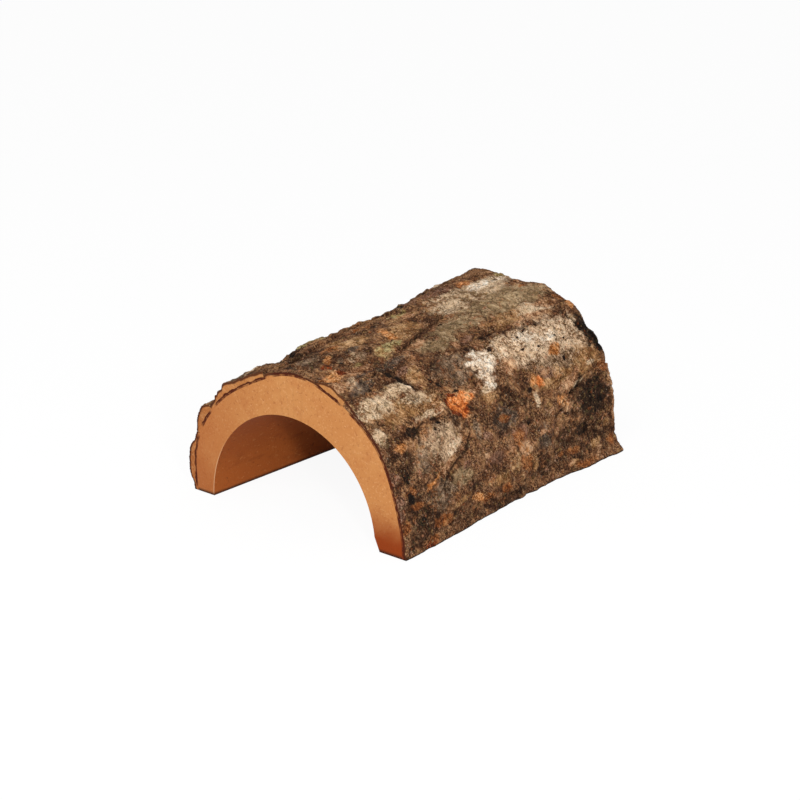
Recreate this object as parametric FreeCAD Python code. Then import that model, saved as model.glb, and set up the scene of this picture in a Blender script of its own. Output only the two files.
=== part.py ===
import FreeCAD, Part
import math
import os

# A reptile hideout made of half a hollowed log, still in its bark. The log lies along Y with its
# sawn front end towards -Y, stands on two flat sawn feet, and is open from end to end as a tunnel.
# Wood, a thin skin of inner bark, and the scales of outer bark between the natural fissures are
# separate solids. Angles run round the log from the right foot (0) over the crown (90) to the left
# foot (180), and radii are measured from the middle of the floor. Millimetres and degrees.

# Driving sizes of the log and its tunnel
log_length = 208.6
tunnel_radius = 59.7          # at the front end
tunnel_taper = 2.1            # how much smaller the tunnel's radius is at the back end
tunnel_offset = 3.0           # how far the tunnel lies left of the middle, at the front end
tunnel_drift = 1.0            # how far it comes back to the middle by the back end
tunnel_lift = 0.4             # height of the tunnel's centre above the floor
foot_flare = 3.0              # how far the right inner edge opens out at the floor
foot_flare_height = 7.5

# The wood outside the tunnel's radius, at even steps of angle from the right foot to the left foot
wall_front = (15.3, 15.9, 20.6, 21.9, 23.7, 19.3, 19.9, 20.0, 15.7)
wall_waist = (8.8, 11.3, 16.9, 22.9, 25.9, 27.4, 26.4, 20.9, 13.9)
wall_back = (7.9, 8.4, 16.4, 23.9, 31.4, 34.9, 32.9, 23.4, 13.9)

# Driving sizes of the bark
inner_bark_thickness = 1.0
fissure_gap = 0.6             # between one scale of bark and the next
seam_wander = 1.0             # how far the long fissures stray from their course
seam_wander_pitch = 41.0
seam_phase = 1.7              # how much later each fissure's wandering starts than its neighbour's
crack_raggedness = 1.6        # how far the cracks across the log zigzag
lump_height = 0.9             # how far the weathered face swells above and below its mean
lump_pitch = 34.0
ripple_height = 0.8           # of the smaller ridges of crust on the lumps
ripple_pitch = 17.5
full_lump_thickness = 3.6     # lumps and ripples are lower on a thinner scale, in proportion

# The oval scale that lies on the right shoulder, with its place from the front end and round the log
oval_carrier = "right_shoulder_bark"
oval_from_front = 45.0
oval_angle = 40.0
oval_length = 29.0
oval_width = 18.0
oval_thickness = 1.8          # in its middle
oval_rim = 0.8                # at its edge
oval_raggedness = 0.06

# The root spur where the bark flares out at the back of the right foot
spur_carrier = "right_rear_foot_bark"
spur_reach = 3.6
spur_run = 40.0               # along the log
spur_rise = 5.0               # up from the floor

# Where the log swells out or dips: from the front end, angle, height, reach along and reach round
swells = (
    (173.0, 2.0, 2.6, 8.0, 5.0),
    (206.0, 12.0, -1.5, 14.0, 7.0),
    (206.0, 28.0, 1.4, 12.0, 6.0),
    (206.0, 67.0, 1.7, 12.0, 7.0),
    (206.0, 87.0, -2.1, 14.0, 8.0),
    (0.0, 129.0, 1.5, 7.0, 5.0),
    (0.0, 138.5, -3.6, 7.0, 4.5),
    (3.0, 120.0, -1.3, 8.0, 5.0),
    (42.0, 125.0, -1.6, 13.0, 10.0),
    (69.0, 122.0, 3.0, 12.5, 11.0),
    (134.0, 115.0, -1.6, 14.0, 8.0),
    (143.0, 121.0, -3.0, 26.0, 13.0),
    (188.0, 119.0, -1.4, 20.0, 9.0),
)

# How wide each strip of bark is, at these shares of the log's length. The strips lie side by side
# from the right foot to the left foot and share out the half turn in proportion to their widths.
station_shares = (0.0, 0.2, 0.36, 0.58, 0.8, 1.0)
strip_widths = {
    "right_foot": (16, 20, 38, 42, 42, 41),
    "right_shoulder": (49, 46, 28, 28, 28, 30),
    "crown": (15, 10, 15, 20, 25, 28),
    "ridge": (25, 32, 33, 30, 29, 29),
    "left_shoulder": (35, 31, 27, 22, 19, 17),
    "left_flank": (15, 16, 16, 16, 16, 15),
    "left_foot": (25, 25, 23, 22, 21, 20),
}

# The crack that splits each strip across: its share of the length, and its lean from square
cracks = {
    "right_foot": (0.71, 32.0),
    "right_shoulder": (0.45, -12.0),
    "crown": (0.115, 10.0),
    "ridge": (0.57, -18.0),
    "left_shoulder": (0.18, 14.0),
    "left_flank": (0.15, -10.0),
    "left_foot": (0.22, 16.0),
}

# Each scale of outer bark: the strip it belongs to, the end of the log it runs to, and its
# thickness at its lower edge, middle and upper edge, at the front end and at the back end
bark_scales = {
    "right_foot_bark": ("right_foot", "front", (1.0, 1.0, 1.0), (3.2, 3.4, 3.4)),
    "right_rear_foot_bark": ("right_foot", "back", (2.0, 2.8, 3.0), (2.0, 3.2, 5.4)),
    "right_shoulder_bark": ("right_shoulder", "front", (1.0, 1.2, 3.2), (3.6, 4.6, 4.4)),
    "right_rear_shoulder_bark": ("right_shoulder", "back", (2.4, 4.4, 4.4), (3.6, 5.8, 6.0)),
    "crown_edge_scale": ("crown", "front", (3.4, 3.6, 0.9), (4.0, 4.0, 3.0)),
    "crown_bark": ("crown", "back", (3.4, 2.2, 1.0), (5.0, 5.2, 1.8)),
    "crown_left_bark": ("ridge", "front", (1.0, 1.0, 1.2), (5.0, 5.6, 6.0)),
    "ridge_bark": ("ridge", "back", (2.0, 4.2, 5.0), (2.0, 7.0, 8.0)),
    "left_high_scale": ("left_shoulder", "front", (3.2, 5.6, 4.2), (3.2, 5.0, 4.2)),
    "left_shoulder_bark": ("left_shoulder", "back", (4.0, 4.8, 4.4), (7.0, 6.6, 5.6)),
    "left_mid_scale": ("left_flank", "front", (4.8, 5.8, 2.4), (3.4, 4.2, 3.4)),
    "left_flank_bark": ("left_flank", "back", (3.6, 3.8, 3.2), (5.2, 4.8, 4.0)),
    "left_low_scale": ("left_foot", "front", (2.4, 5.2, 3.6), (3.4, 3.8, 3.0)),
    "left_foot_bark": ("left_foot", "back", (3.0, 3.4, 2.6), (4.0, 4.0, 3.4)),
}

# How finely the forms are drawn
wood_columns = 32             # spans round the half turn
wood_rows = 6                 # spans along the log
face_span_angle = 4.0         # of the weathered faces, round the log
face_span_length = 4.8        # and along it
oval_spokes = 16
oval_rings = 3
oval_corners = 3              # bulges of its ragged rim
oval_seat_depth = 0.6         # how far it starts inside its seat before the seat is cut away
seat_depth = 2.0              # how far a scale starts inside its seat before the seat is cut away
overrun = 5.0                 # how far a cutting form runs past what it cuts


def point(radius, angle, y):
    turn = math.radians(angle)
    return FreeCAD.Vector(radius * math.cos(turn), y, radius * math.sin(turn))


def between(values, position):
    # straight steps through a row of values, where position counts from 0 at the first
    index = min(max(int(position), 0), len(values) - 2)
    return values[index] + (values[index + 1] - values[index]) * (position - index)


def smooth_between(values, position):
    # a smooth curve through a row of values
    index = min(max(int(math.floor(position)), 0), len(values) - 2)
    share = position - index
    start, end = values[index], values[index + 1]
    start_slope = (end - values[max(index - 1, 0)]) / 2
    end_slope = (values[min(index + 2, len(values) - 1)] - start) / 2
    return (
        start * (1 + 2 * share) * (1 - share) ** 2
        + start_slope * share * (1 - share) ** 2
        + end * share**2 * (3 - 2 * share)
        + end_slope * share**2 * (share - 1)
    )


def wood_radius(y, angle):
    share = y / log_length
    position = angle / 180 * (len(wall_front) - 1)
    walls = [smooth_between(wall, position) for wall in (wall_front, wall_waist, wall_back)]
    return tunnel_radius - tunnel_taper * share + smooth_between(walls, 2 * share)


def seat_radius(y, angle):
    return wood_radius(y, angle) + inner_bark_thickness


def flat_face(corners):
    return Part.Face(Part.makePolygon(corners + [corners[0]]))


def skin(rows):
    # flat triangles between each row of points and the next
    faces = []
    for row, following in zip(rows, rows[1:]):
        for near, far, near_next, far_next in zip(row, following, row[1:], following[1:]):
            faces.append(flat_face([near, far, far_next]))
            faces.append(flat_face([near, far_next, near_next]))
    return faces


def solid_of(faces):
    solid = Part.makeSolid(Part.makeShell(faces))
    if solid.Volume < 0:
        solid.reverse()
    return solid


def half_round(radius_at):
    # the whole half log out to a given surface, with its middle still solid
    rows = []
    for row in range(wood_rows + 1):
        y = log_length * row / wood_rows
        angles = [180 * column / wood_columns for column in range(wood_columns + 1)]
        rows.append([point(radius_at(y, angle), angle, y) for angle in angles])
    right_foot = [row[0] for row in rows]
    left_foot = [row[-1] for row in rows]
    floor = flat_face(right_foot + left_foot[::-1])
    return solid_of(skin(rows) + [flat_face(rows[0]), flat_face(rows[-1]), floor])


def tunnel_section(y):
    share = y / log_length
    radius = tunnel_radius - tunnel_taper * share
    centre_x = -tunnel_offset + tunnel_drift * share
    flare_rise = foot_flare_height - tunnel_lift
    flare_top_x = centre_x + math.sqrt(radius**2 - flare_rise**2)
    flare_foot_x = centre_x + radius + foot_flare
    slope = (flare_foot_x - flare_top_x) / foot_flare_height
    flare_top = FreeCAD.Vector(flare_top_x, y, foot_flare_height)
    flare_foot = FreeCAD.Vector(flare_foot_x + slope * overrun, y, -overrun)
    crown = FreeCAD.Vector(centre_x, y, tunnel_lift + radius)
    left_side = FreeCAD.Vector(centre_x - radius, y, tunnel_lift)
    left_foot = FreeCAD.Vector(centre_x - radius, y, -overrun)
    return Part.Wire([
        Part.makeLine(flare_foot, flare_top),
        Part.Arc(flare_top, crown, left_side).toShape(),
        Part.makeLine(left_side, left_foot),
        Part.makeLine(left_foot, flare_foot),
    ])


def tunnel():
    front = tunnel_section(-overrun)
    back = tunnel_section(log_length + overrun)
    return Part.makeLoft([front, back], True, True)


def strip_course(strip, y):
    # the angles at which a strip of bark would start and end if its fissures ran straight
    share = y / log_length
    index = 0
    while index < len(station_shares) - 2 and share > station_shares[index + 1]:
        index += 1
    run = station_shares[index + 1] - station_shares[index]
    position = index + (share - station_shares[index]) / run
    widths = {name: between(stations, position) for name, stations in strip_widths.items()}
    total = sum(widths.values())
    names = list(strip_widths)
    before = sum(widths[name] for name in names[:names.index(strip)])
    return 180 * before / total, 180 * (before + widths[strip]) / total


def strip_width(strip, y):
    low, high = strip_course(strip, y)
    return high - low


def strip_edges(strip, y):
    # the same angles with the fissures' wandering and half of each fissure's gap
    edges = []
    first_seam = list(strip_widths).index(strip)
    for angle, seam, inwards in zip(strip_course(strip, y), (first_seam, first_seam + 1), (1, -1)):
        on_floor = seam in (0, len(strip_widths))
        stray = seam_wander * math.sin(2 * math.pi * y / seam_wander_pitch + seam_phase * seam)
        shift = 0 if on_floor else stray + inwards * fissure_gap / 2
        edges.append(angle + math.degrees(shift / seat_radius(y, angle)))
    return edges


def lump(y, angle):
    wave = 2 * math.pi * y / lump_pitch
    turn = 2 * math.pi * math.radians(angle) * tunnel_radius / lump_pitch
    return lump_height * (
        0.5 * math.sin(0.8 * wave + turn) * math.sin(1.3 * turn - 0.5 * wave)
        + 0.3 * math.sin(2.3 * wave - 1.9 * turn)
        + 0.2 * math.sin(3.7 * turn + 2.9 * wave)
    )


def ripple(y, angle):
    wave = 2 * math.pi * y / ripple_pitch
    turn = 2 * math.pi * math.radians(angle) * tunnel_radius / ripple_pitch
    return ripple_height * math.sin(0.9 * wave + 0.6 * turn) * math.sin(1.1 * turn - 0.4 * wave)


def swell(y, angle):
    height = 0.0
    for middle_y, middle_angle, rise, reach_along, reach_round in swells:
        along = (y - middle_y) / reach_along
        round_log = seat_radius(y, angle) * math.radians(angle - middle_angle) / reach_round
        height += rise * math.exp(-(along**2) - round_log**2)
    return height


def spur(y, angle):
    # the flare dies away forwards from the back end and upwards from the floor
    along = (log_length - y) / spur_run
    up = seat_radius(y, 0.0) * math.radians(angle) / spur_rise
    return spur_reach * math.exp(-(along**2) - up**2)


def face_radius(name, y, angle, across):
    # the weathered face of a scale, where across runs from 0 at its lower edge to 1
    front_thickness, back_thickness = bark_scales[name][2:]
    share = y / log_length
    thicknesses = [between(ends, share) for ends in zip(front_thickness, back_thickness)]
    thickness = smooth_between(thicknesses, 2 * across)
    relief = lump(y, angle) + ripple(y, angle)
    swelling = relief * min(1.0, thickness / full_lump_thickness) + swell(y, angle)
    if name == spur_carrier:
        swelling += spur(y, angle)
    return seat_radius(y, angle) + thickness + swelling


def crack_y(strip, across, column):
    # how far from the front end the crack across a strip lies, across running from 0 to 1
    share, lean = cracks[strip]
    middle_y = share * log_length
    low, high = strip_course(strip, middle_y)
    width = seat_radius(middle_y, (low + high) / 2) * math.radians(high - low)
    zigzag = crack_raggedness * (0.5 if column % 2 else -0.5)
    return middle_y + (across - 0.5) * width * math.tan(math.radians(lean)) + zigzag


def scale_points(name):
    # rows of points over a scale, from its crack to its end of the log: weathered face and inside
    strip, end = bark_scales[name][:2]
    end_y = 0.0 if end == "front" else log_length
    gap = fissure_gap / 2 if end == "back" else -fissure_gap / 2
    crack_middle = cracks[strip][0] * log_length
    widest = max(strip_width(strip, crack_middle), strip_width(strip, end_y))
    columns = max(3, round(widest / face_span_angle))
    rows = max(3, round(abs(end_y - crack_middle) / face_span_length))
    outer = []
    inner = []
    for row in range(rows + 1):
        outer_row = []
        inner_row = []
        for column in range(columns + 1):
            across = column / columns
            start_y = crack_y(strip, across, column) + gap
            y = start_y + (end_y - start_y) * row / rows
            low, high = strip_edges(strip, y)
            angle = low + (high - low) * across
            outer_row.append(point(face_radius(name, y, angle, across), angle, y))
            inner_row.append(point(seat_radius(y, angle) - seat_depth, angle, y))
        outer.append(outer_row)
        inner.append(inner_row)
    return outer, inner


def closed_slab(outer, inner):
    # a solid between two grids of points
    rims = [
        [outer[0], inner[0]],
        [outer[-1], inner[-1]],
        [[row[0] for row in outer], [row[0] for row in inner]],
        [[row[-1] for row in outer], [row[-1] for row in inner]],
    ]
    faces = skin(outer) + skin(inner)
    for rim in rims:
        faces += skin(rim)
    return solid_of(faces)


def largest_solid(shape):
    return max(shape.Solids, key=lambda solid: solid.Volume)


def bark_scale(name, seat):
    outer, inner = scale_points(name)
    return largest_solid(closed_slab(outer, inner).cut(seat))


def fan(middle, ring):
    return [flat_face([middle, near, far]) for near, far in zip(ring, ring[1:])]


def oval_point(out, spoke, rise):
    # a point over the bark that carries the oval, where out runs from 0 in the oval's middle to 1
    turn = 2 * math.pi * (spoke % oval_spokes) / oval_spokes
    rim = out * (1 + oval_raggedness * math.sin(oval_corners * turn))
    y = oval_from_front + rim * oval_length / 2 * math.cos(turn)
    round_log = rim * oval_width / 2 * math.sin(turn)
    angle = oval_angle + math.degrees(round_log / seat_radius(y, oval_angle))
    low, high = strip_edges(bark_scales[oval_carrier][0], y)
    across = (angle - low) / (high - low)
    return point(face_radius(oval_carrier, y, angle, across) + rise, angle, y)


def oval_scale():
    # a low dome seated on the face of the scale that carries it
    rings = []
    for ring in range(1, oval_rings + 1):
        out = ring / oval_rings
        rise = oval_thickness - (oval_thickness - oval_rim) * out**2
        rings.append([oval_point(out, spoke, rise) for spoke in range(oval_spokes + 1)])
    base = [oval_point(1.0, spoke, -oval_seat_depth) for spoke in range(oval_spokes + 1)]
    faces = fan(oval_point(0.0, 0, oval_thickness), rings[0]) + skin(rings + [base])
    faces += fan(oval_point(0.0, 0, -oval_seat_depth), base)
    carrier = closed_slab(*scale_points(oval_carrier))
    return largest_solid(solid_of(faces).cut(carrier))


def build_pieces():
    wood_body = half_round(wood_radius)
    bark_body = half_round(seat_radius)
    pieces = {"wood_shell": wood_body.cut(tunnel()), "inner_bark": bark_body.cut(wood_body)}
    for name in bark_scales:
        pieces[name] = bark_scale(name, bark_body)
    pieces["oval_scale"] = oval_scale()
    return pieces


def centre_on_floor(pieces):
    # the origin is on the floor, in the middle of the whole object's box
    box = FreeCAD.BoundBox()
    for shape in pieces.values():
        box.add(shape.optimalBoundingBox())
    for shape in pieces.values():
        shape.translate(FreeCAD.Vector(-box.Center.x, -box.Center.y, -box.ZMin))
    return box


pieces = build_pieces()
box = centre_on_floor(pieces)
os.makedirs("parts", exist_ok=True)
for name, shape in pieces.items():
    shape.exportStep("parts/" + name + ".step")
print("box", round(box.XLength, 2), round(box.YLength, 2), round(box.ZLength, 2))
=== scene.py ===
import math
import random

import bpy
import numpy as np
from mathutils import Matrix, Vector, noise
from mathutils.bvhtree import BVHTree


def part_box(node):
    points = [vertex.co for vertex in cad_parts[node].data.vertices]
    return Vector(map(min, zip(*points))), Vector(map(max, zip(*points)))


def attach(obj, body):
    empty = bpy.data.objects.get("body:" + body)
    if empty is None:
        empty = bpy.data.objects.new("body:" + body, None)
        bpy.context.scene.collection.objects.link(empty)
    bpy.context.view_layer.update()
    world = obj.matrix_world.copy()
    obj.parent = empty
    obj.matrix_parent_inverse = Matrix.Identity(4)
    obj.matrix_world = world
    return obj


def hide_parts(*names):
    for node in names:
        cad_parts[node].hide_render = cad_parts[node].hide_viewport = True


# Half a hollowed log in its bark, a hide for a small reptile. Places on it are given as millimetres
# back from the sawn end and degrees round the log, from the right foot (0) to the left foot (180).

mm = 0.001
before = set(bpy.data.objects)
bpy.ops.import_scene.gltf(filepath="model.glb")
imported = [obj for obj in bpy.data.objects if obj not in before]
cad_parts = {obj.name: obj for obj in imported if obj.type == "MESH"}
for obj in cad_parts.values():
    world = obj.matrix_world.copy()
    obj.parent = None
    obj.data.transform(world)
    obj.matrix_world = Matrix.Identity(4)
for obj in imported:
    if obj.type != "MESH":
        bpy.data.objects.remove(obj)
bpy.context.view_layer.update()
woodLow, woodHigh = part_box("wood_shell")
frontY = woodLow.y
backY = woodHigh.y
logLength = (backY - frontY) / mm  # in mm

log = {
    "rightFoot": 75 * mm,  # from the log's middle line to the wood's right side, at the sawn end
    "barkRadius": 84 * mm,  # a typical radius, to turn degrees into lengths
    "boreRadius": 59.7 * mm,
    "boreOffset": -3.0 * mm,  # the bore's middle from the log's, at the sawn end
    "outside": 160 * mm,  # from the middle line, beyond all of the bark
}
centreX = woodHigh.x - log["rightFoot"]
perDegree = math.radians(log["barkRadius"] / mm)  # mm along the bark for each degree

barkNodes = [
    "right_foot_bark", "right_rear_foot_bark", "right_shoulder_bark", "right_rear_shoulder_bark",
    "crown_edge_scale", "crown_bark", "crown_left_bark", "ridge_bark", "left_high_scale",
    "left_shoulder_bark", "left_mid_scale", "left_flank_bark", "left_low_scale", "left_foot_bark",
    "oval_scale",
]


def linear(hexColour):
    # an sRGB hex colour as linear red, green, blue and alpha
    parts = [int(hexColour[i:i + 2], 16) / 255 for i in (1, 3, 5)]
    return [p / 12.92 if p <= 0.04045 else ((p + 0.055) / 1.055) ** 2.4 for p in parts] + [1.0]


def put(tree, kind, inputs=None, out=0, stops=(), **settings):
    # adds a node with its settings, values, links and colour stops, and gives back one output
    node = tree.nodes.new("ShaderNode" + kind)
    for name, value in settings.items():
        setattr(node, name, value)
    for name, value in (inputs or {}).items():
        if isinstance(value, bpy.types.NodeSocket):
            tree.links.new(value, node.inputs[name])
        else:
            node.inputs[name].default_value = value
    for index, (position, tone) in enumerate(stops):
        elements = node.color_ramp.elements
        element = elements[index] if index < len(elements) else elements.new(position)
        element.position = position
        element.color = linear(tone)
    return node.outputs[out] if node.outputs else None


colourMix = {"out": 2, "data_type": "RGBA"}  # what a Mix node needs to blend two colours
smoothly = {"interpolation_type": "SMOOTHSTEP"}  # and a Map Range node to ease its ends


def newMaterial(name):
    material = bpy.data.materials.new(name)
    material.use_nodes = True
    tree = material.node_tree
    tree.nodes.clear()
    return material, tree


def logPlace(tree):
    # each as a socket: position, height, millimetres across and back, and degrees round the log
    place = put(tree, "TexCoord", out="Object")
    x, y, height = [put(tree, "SeparateXYZ", {0: place}, out=axis) for axis in "XYZ"]
    across = put(tree, "Math", {0: x, 1: centreX}, operation="SUBTRACT")
    turn = put(tree, "Math", {0: height, 1: across}, operation="ARCTAN2")
    degrees = put(tree, "Math", {0: turn, 1: 180 / math.pi}, operation="MULTIPLY")
    back = put(tree, "Math", {0: y, 1: frontY}, operation="SUBTRACT")
    acrossMm = put(tree, "Math", {0: across, 1: mm}, operation="DIVIDE")
    backMm = put(tree, "Math", {0: back, 1: mm}, operation="DIVIDE")
    return {"place": place, "height": height, "across": acrossMm, "back": backMm, "degrees": degrees}


def flecked(tree, place, colour, layers):
    # lays specks, clouds or streaks of other colours over a colour.
    # Each layer: pitch in mm, detail, scale along the log, where the noise starts and is full,
    # share, colour.
    for pitch, detail, along, start, full, share, tone in layers:
        mapped = put(tree, "Mapping", {"Vector": place, "Scale": (1, along, 1)})
        speck = put(tree, "TexNoise", {"Vector": mapped, "Scale": 1 / (pitch * mm), "Detail": detail,
                                       "Roughness": 0.65})
        amount = put(tree, "MapRange", {"Value": speck, "From Min": start, "From Max": full,
                                        "To Max": share}, **smoothly)
        colour = put(tree, "Mix", {0: amount, 6: colour, 7: linear(tone)}, **colourMix)
    return colour


def within(tree, value, stretches, fade):
    # 1 inside any of the stretches of a value, 0 elsewhere
    total = None
    for start, end in stretches:
        rising = put(tree, "MapRange", {"Value": value, "From Min": start, "From Max": start + fade})
        falling = put(tree, "MapRange", {"Value": value, "From Min": end, "From Max": end - fade})
        stretch = put(tree, "Math", {0: rising, 1: falling}, operation="MULTIPLY")
        total = stretch if total is None else put(tree, "Math", {0: total, 1: stretch}, operation="MAXIMUM")
    return total


# The wood. A fade is given by the inputs of its Map Range node: the values at which it starts and
# is full and, where they aren't 0 and 1, its strength at each.

wood = {
    "face": "#C08048", "faceLeft": "#A75B2C", "faceFoot": "#8A380A", "paintedContactShadow": "#2E170C",
    # rim: the colour of a painted highlight where the bore's left edge meets the sawn end
    "rim": "#E9C49C", "check": "#9B6236",
    "leftFade": {"From Min": -25, "From Max": -75, "To Max": 0.65},  # mm across
    "footFade": {"From Min": 23 * mm, "From Max": -2 * mm},  # height
    "footSide": {"From Min": -60, "From Max": 40, "To Min": 0.25},  # mm across
    "footWaver": 12,  # mm that the foot's border wavers up and down, and the pitch of it
    "paintedContactShadowFade": {"From Min": 2.1 * mm, "From Max": 0.6 * mm, "To Max": 0.9},  # height: painted contact shadow along the floor
    "clouds": [
        (30, 3, 1, 0.4, 0.66, 0.6, "#CA8F55"),
        (9, 4, 1, 0.5, 0.72, 0.35, "#B06A3A"),
    ],
    # pores and fine grain, truly 0.1 mm or less: drawn about ten times coarser, so that they show
    "pores": [
        (1.3, 3, 1, 0.54, 0.68, 0.4, "#DFAA74"),
        (1.5, 4, 1, 0.56, 0.68, 0.5, "#96522A"),
        (3.6, 5, 1, 0.62, 0.7, 0.4, "#7E421F"),
    ],
    # faint drying cracks, in degrees: truly hairlines, drawn a millimetre wide so that they show
    "checks": [(84, 86), (89.5, 90.6), (93, 94), (97, 98.2)], "checkFade": 0.5, "checkShare": 0.12,
    "paintedHighlightFade": {"From Min": 0.9, "From Max": 0.3, "To Max": 0.42},  # mm beyond the bore: a painted highlight along its edge
    "paintedHighlightSide": {"From Min": -50, "From Max": -60},  # mm across: the painted highlight is on the left only
    # the bore's wall, with painted shade under its crown and deep inside
    "bore": "#A65924", "paintedCrownShade": "#8A4117", "paintedDeepShade": "#4A200B",
    "paintedCrownShadeFade": {"From Min": 15 * mm, "From Max": 55 * mm},  # height: painted shade under the bore's crown
    "paintedDeepShadeFade": {"From Min": 60, "From Max": 130, "To Max": 0.35},  # mm back: painted shade deep inside the bore
    "boreLayers": [
        (17, 4, 0.5, 0.45, 0.7, 0.35, "#954A1E"),
        (5, 5, 0.3, 0.52, 0.7, 0.35, "#7C3A16"),
        (1.8, 5, 0.6, 0.58, 0.7, 0.5, "#C8864E"),
        (2.6, 5, 0.6, 0.6, 0.7, 0.5, "#5A260E"),
    ],
    "endFade": {"From Min": 0.55, "From Max": 0.8},  # how squarely a sawn end faces along the log
    "porePitch": 1.2, "scratchPitch": 1.6, "scratchStretch": 0.2,
    "reliefStrength": 0.4, "reliefHeight": 0.3, "roughness": 0.75, "specular": 0.15,
}


def sawnFace(tree, at):
    # the colour of fresh end grain, duller on the left and redder towards the feet
    face = flecked(tree, at["place"], linear(wood["face"]), wood["clouds"])
    face = flecked(tree, at["place"], face, wood["pores"])
    left = put(tree, "MapRange", {"Value": at["across"], **wood["leftFade"]})
    face = put(tree, "Mix", {0: left, 6: face, 7: linear(wood["faceLeft"])}, **colourMix)
    wavy = wood["footWaver"] * mm
    waver = put(tree, "TexNoise", {"Vector": at["place"], "Scale": 1 / wavy, "Detail": 3})
    low = put(tree, "Math", {0: waver, 1: -wavy, 2: at["height"]}, operation="MULTIPLY_ADD")
    foot = put(tree, "MapRange", {"Value": low, **wood["footFade"]}, **smoothly)
    side = put(tree, "MapRange", {"Value": at["across"], **wood["footSide"]})
    foot = put(tree, "Math", {0: foot, 1: side}, operation="MULTIPLY")
    return put(tree, "Mix", {0: foot, 6: face, 7: linear(wood["faceFoot"])}, **colourMix)


def sawnEnd(tree, at):
    # the sawn end, with faint drying cracks and a painted highlight along the left of the bore's edge
    face = sawnFace(tree, at)
    check = within(tree, at["degrees"], wood["checks"], wood["checkFade"])
    check = put(tree, "Math", {0: check, 1: wood["checkShare"]}, operation="MULTIPLY")
    face = put(tree, "Mix", {0: check, 6: face, 7: linear(wood["check"])}, **colourMix)
    # painted highlight: a pale line along the bore's left edge
    x = put(tree, "Math", {0: at["across"], 1: log["boreOffset"] / mm}, operation="SUBTRACT")
    z = put(tree, "Math", {0: at["height"], 1: mm}, operation="DIVIDE")
    middle = put(tree, "CombineXYZ", {"X": x, "Z": z})
    radius = put(tree, "VectorMath", {0: middle}, out="Value", operation="LENGTH")
    beyond = put(tree, "Math", {0: radius, 1: log["boreRadius"] / mm}, operation="SUBTRACT")
    rim = put(tree, "MapRange", {"Value": beyond, **wood["paintedHighlightFade"]})
    paintedHighlightLeft = put(tree, "MapRange", {"Value": at["across"], **wood["paintedHighlightSide"]})
    rim = put(tree, "Math", {0: rim, 1: paintedHighlightLeft}, operation="MULTIPLY")
    return put(tree, "Mix", {0: rim, 6: face, 7: linear(wood["rim"])}, **colourMix)


def boreWall(tree, at):
    # painted shade under the crown and deep inside, flecked along the tool's way
    crownShade = put(tree, "MapRange", {"Value": at["height"], **wood["paintedCrownShadeFade"]})
    wall = put(tree, "Mix", {0: crownShade, 6: linear(wood["bore"]), 7: linear(wood["paintedCrownShade"])}, **colourMix)
    deepShade = put(tree, "MapRange", {"Value": at["back"], **wood["paintedDeepShadeFade"]}, **smoothly)
    wall = put(tree, "Mix", {0: deepShade, 6: wall, 7: linear(wood["paintedDeepShade"])}, **colourMix)
    return flecked(tree, at["place"], wall, wood["boreLayers"])


def mattSurface(tree, colour, relief, looks):
    # the shader that all three materials share, with the roughness and relief of one of them
    bump = put(tree, "Bump", {"Strength": looks["reliefStrength"], "Distance": looks["reliefHeight"] * mm,
                              "Height": relief})
    shader = put(tree, "BsdfPrincipled", {"Base Color": colour, "Roughness": looks["roughness"],
                                          "Specular IOR Level": looks["specular"], "Normal": bump})
    put(tree, "OutputMaterial", {"Surface": shader})


def sawnWood():
    # Fruitwood, sawn across its grain and bored: pale end grain with pores, redder towards the feet, and a
    # darker bore whose wall is flecked and scratched along the tool's way. Painted shade darkens the bore
    # under its crown and deep inside, a painted contact shadow runs along the floor, and a painted
    # highlight runs along the bore's left edge
    material, tree = newMaterial("sawnFruitwood")
    at = logPlace(tree)
    normal = put(tree, "NewGeometry", out="Normal")
    along = put(tree, "Math", {0: put(tree, "SeparateXYZ", {0: normal}, out="Y")}, operation="ABSOLUTE")
    isEnd = put(tree, "MapRange", {"Value": along, **wood["endFade"]})
    colour = put(tree, "Mix", {0: isEnd, 6: boreWall(tree, at), 7: sawnEnd(tree, at)}, **colourMix)
    # painted contact shadow: the wood darkens to near black just above the floor
    paintedContactShadow = put(tree, "MapRange", {"Value": at["height"], **wood["paintedContactShadowFade"]})
    colour = put(tree, "Mix", {0: paintedContactShadow, 6: colour, 7: linear(wood["paintedContactShadow"])}, **colourMix)
    pores = put(tree, "TexNoise", {"Vector": at["place"], "Scale": 1 / (wood["porePitch"] * mm),
                                   "Detail": 4})
    drawn = put(tree, "Mapping", {"Vector": at["place"], "Scale": (1, wood["scratchStretch"], 1)})
    scratches = put(tree, "TexNoise", {"Vector": drawn, "Scale": 1 / (wood["scratchPitch"] * mm),
                                       "Detail": 4})
    relief = put(tree, "Math", {0: pores, 1: scratches}, operation="ADD")
    mattSurface(tree, colour, relief, wood)
    return material


# The inner bark, seen edge on at the sawn end

innerBark = {
    "dark": "#4C1C0C",
    # stretches of the sawn end, in degrees, where it shows as a dark line: dried bast, and partly painted
    # shade of the gap under the lifted bark
    "lines": [(-5, 62), (65, 80), (83, 101), (103.5, 138), (141, 151), (155, 179)], "lineFade": 1.5,
    "wornPitch": 3.5, "wornFade": {"From Min": 0.36, "From Max": 0.56, "To Min": 0.45},
    "behindFade": {"From Min": 0.15, "From Max": 0.5},  # mm back: it is all painted dark behind that, as shade in the gaps it shows through
    "fibrePitch": 0.9, "fibres": [(0.9, 4, 0.2, 0.5, 0.7, 0.35, "#8A4A22")],
    "reliefStrength": 0.5, "reliefHeight": 0.3, "roughness": 0.85, "specular": 0.15,
}


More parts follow.
